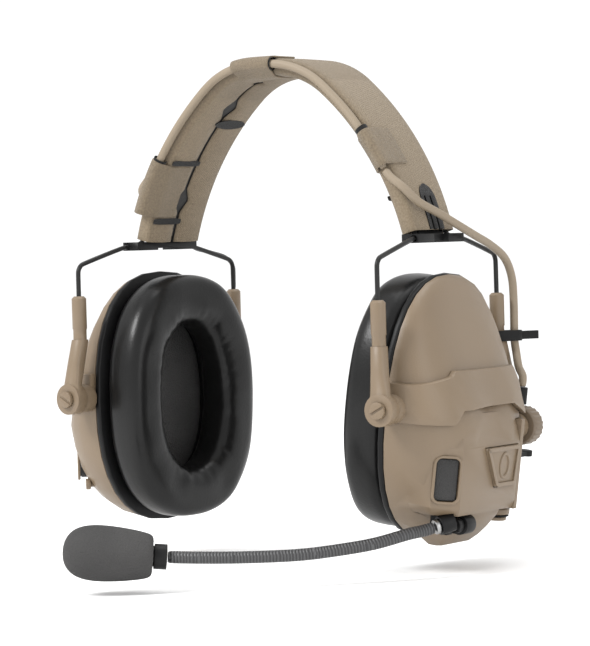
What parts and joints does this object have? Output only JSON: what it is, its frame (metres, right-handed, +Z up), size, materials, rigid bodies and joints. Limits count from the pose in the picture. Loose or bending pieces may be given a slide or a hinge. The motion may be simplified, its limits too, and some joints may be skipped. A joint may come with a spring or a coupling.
{
  "type": "radio headphones",
  "caption": "Over-ear radio headset with a fabric-covered wire headband, sliding tilting ear cups, a flexible boom microphone and left-cup controls.",
  "frame": {"origin": "on the underside of the headband at the middle of its crown", "axes": "+Z up, +X to the wearer's left, +Y to the wearer's rear"},
  "size_m": [0.2009, 0.2081, 0.2075],
  "materials": {
    "tan_plastic": "fine satin texture",
    "tan_fabric": "woven, matt",
    "tan_rubber": "smooth, matt",
    "black_plastic": "fine matt",
    "black_rubber": "matt",
    "black_leather": "glossy synthetic leather",
    "dark_foam": "open foam",
    "spring_steel": "black coated spring steel",
    "pale_steel": "plain bright metal",
    "circuit_green": "solder mask"
  },
  "bodies": {
    "headband": {"headband_cover": "tan_fabric", "headband_pad": "black_rubber", "band_strip": "black_plastic", "front_spring_wire": "spring_steel", "rear_spring_wire": "spring_steel", "left_end_bracket": "black_plastic", "right_end_bracket": "black_plastic", "band_cable": "tan_rubber", "cable_splice": "tan_rubber", "left_cable_bow": "tan_rubber", "right_lead": "black_rubber"},
    "left_yoke": {"left_front_arm": "tan_plastic", "left_rear_arm": "tan_plastic", "left_front_pivot_screw": "tan_plastic", "left_rear_pivot_screw": "tan_plastic", "cable_tie": "black_rubber", "left_cable_tail": "tan_rubber"},
    "right_yoke": {"right_front_arm": "tan_plastic", "right_rear_arm": "tan_plastic", "right_front_pivot_screw": "tan_plastic", "right_rear_pivot_screw": "tan_plastic"},
    "left_cup": {"left_cup_strap": "tan_plastic", "left_cup_shell": "tan_plastic", "left_base_plate": "black_plastic", "left_ear_cushion": "black_leather", "left_acoustic_foam": "dark_foam", "left_speaker_baffle": "black_plastic", "left_speaker": "pale_steel", "left_hearing_foam": "dark_foam", "left_hearing_mic": "pale_steel", "control_pod": "tan_plastic", "volume_encoder": "pale_steel", "button_switch": "black_plastic", "circuit_board": "circuit_green", "battery": "pale_steel", "battery_contact_spring": "spring_steel", "left_cable_gland": "black_rubber", "boom_mount": "black_plastic"},
    "right_cup": {"right_cup_strap": "tan_plastic", "right_cup_shell": "tan_plastic", "right_base_plate": "black_plastic", "right_ear_cushion": "black_leather", "right_acoustic_foam": "dark_foam", "right_speaker_baffle": "black_plastic", "right_speaker": "pale_steel", "right_hearing_foam": "dark_foam", "right_hearing_mic": "pale_steel", "right_blanking_cap": "tan_plastic"},
    "knob": {"volume_knob": "tan_plastic"},
    "button": {"push_button": "tan_plastic"},
    "cap": {"battery_cap": "tan_plastic", "battery_cap_ring": "black_rubber"},
    "plug": {"port_plug": "black_rubber"},
    "thumb_screw": {"boom_thumb_screw": "black_plastic"},
    "boom": {"boom_ferrule": "pale_steel", "gooseneck": "spring_steel", "microphone": "black_plastic", "windscreen": "dark_foam"}
  },
  "joints": [
    {"name": "left_slide", "type": "slide", "parent": "headband", "child": "left_yoke", "axis": [0, 0, 1], "range_m": [-0.012, 0.01], "deforming": ["left_cable_bow"]},
    {"name": "right_slide", "type": "slide", "parent": "headband", "child": "right_yoke", "axis": [0, 0, 1], "range_m": [-0.0155, 0.0065], "deforming": ["right_lead"]},
    {"name": "left_tilt", "type": "hinge", "parent": "left_yoke", "child": "left_cup", "pos_m": [0.07564, 0.00018, -0.137], "axis": [-0.0732, 0.9973, 0], "range_deg": [-12, 12], "deforming": ["left_cable_tail"]},
    {"name": "right_tilt", "type": "hinge", "parent": "right_yoke", "child": "right_cup", "pos_m": [-0.07564, 0.00018, -0.1335], "axis": [0.0732, 0.9973, 0], "range_deg": [-12, 12]},
    {"name": "boom_swivel", "type": "hinge", "parent": "left_cup", "child": "boom", "pos_m": [0.08883, -0.02813, -0.18461], "axis": [-0.5318, -0.812, -0.2406], "range_deg": [-35, 35]},
    {"name": "thumb_screw_turn", "type": "hinge", "parent": "left_cup", "child": "thumb_screw", "pos_m": [0.09047, -0.01878, -0.18534], "axis": [-0.0732, 0.9973, 0], "continuous": true},
    {"name": "volume_turn", "type": "hinge", "parent": "left_cup", "child": "knob", "pos_m": [0.08273, 0.04582, -0.14917], "axis": [-0.0732, 0.9973, 0], "range_deg": [-150, 150]},
    {"name": "button_press", "type": "slide", "parent": "left_cup", "child": "button", "axis": [-0.9876, -0.0725, 0.1392], "range_m": [0, 0.001], "stiffness_N_per_m": 900, "springref_m": -0.0006},
    {"name": "battery_cap_turn", "type": "hinge", "parent": "left_cup", "child": "cap", "pos_m": [0.07863, 0.02848, -0.18012], "axis": [0.1388, 0.0102, 0.9903], "range_deg": [0, 90]},
    {"name": "port_plug_pull", "type": "slide", "parent": "left_cup", "child": "plug", "axis": [-0.0732, 0.9973, 0], "range_m": [0, 0.012]}
  ]
}
